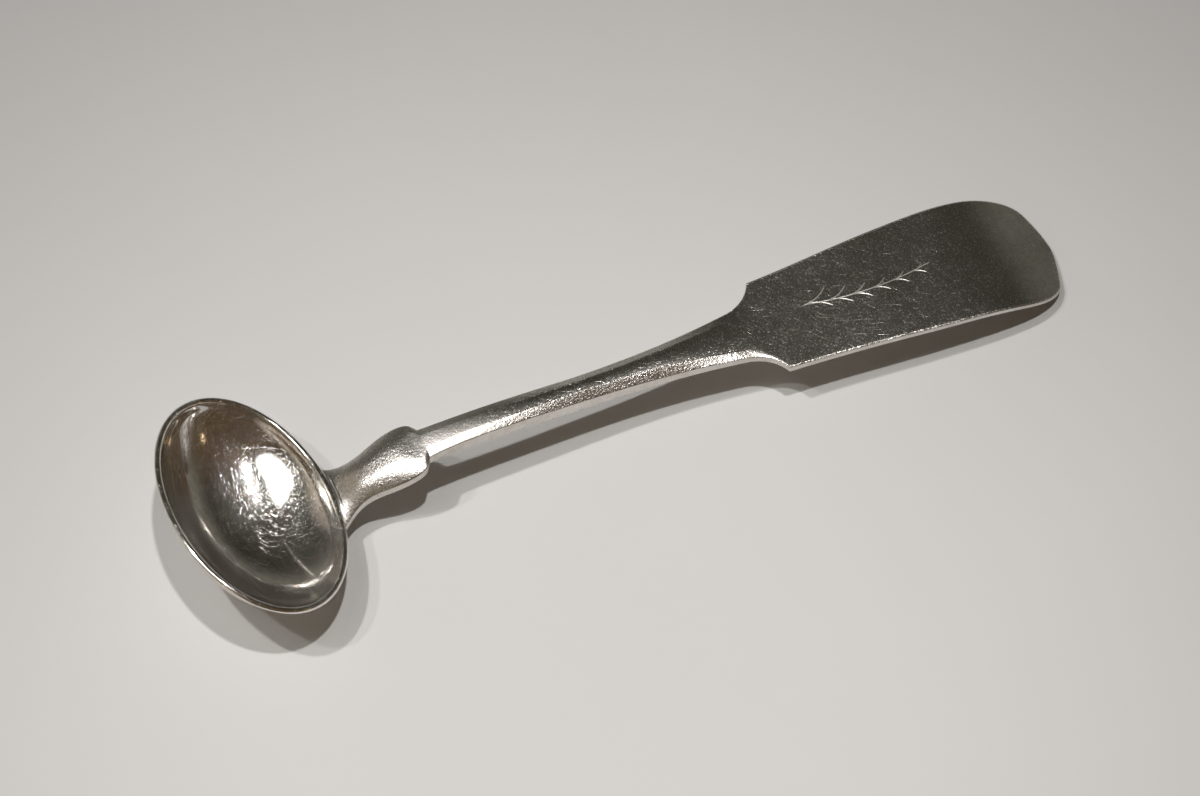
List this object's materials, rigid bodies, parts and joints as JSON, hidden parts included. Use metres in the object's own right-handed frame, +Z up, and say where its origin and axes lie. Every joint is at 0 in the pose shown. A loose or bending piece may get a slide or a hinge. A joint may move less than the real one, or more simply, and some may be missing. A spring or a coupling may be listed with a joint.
{
  "type": "salt spoon",
  "caption": "Small salt spoon with a shallow oval bowl that is wider than it is long, a cranked neck with two small wings, a narrow stem and a fiddle-shaped handle end.",
  "frame": {"origin": "the foot: the worn flat of the drop under the bowl's heel, where the spoon rests on the table", "axes": "+X runs from the bowl to the tip of the handle, +Z is up from the table, and the spoon is symmetric about Y = 0"},
  "size_m": [0.0818, 0.0226, 0.0102],
  "materials": {
    "bowl": "polished silver, worn by use, with fine scratches inside the bowl",
    "handle": "polished silver, worn by use, with fine scratches",
    "solder_seam": "silver solder, a little greyer and duller than the silver"
  },
  "bodies": {
    "root": {"bowl": "bowl", "handle": "handle", "solder_seam": "solder_seam"}
  },
  "joints": []
}
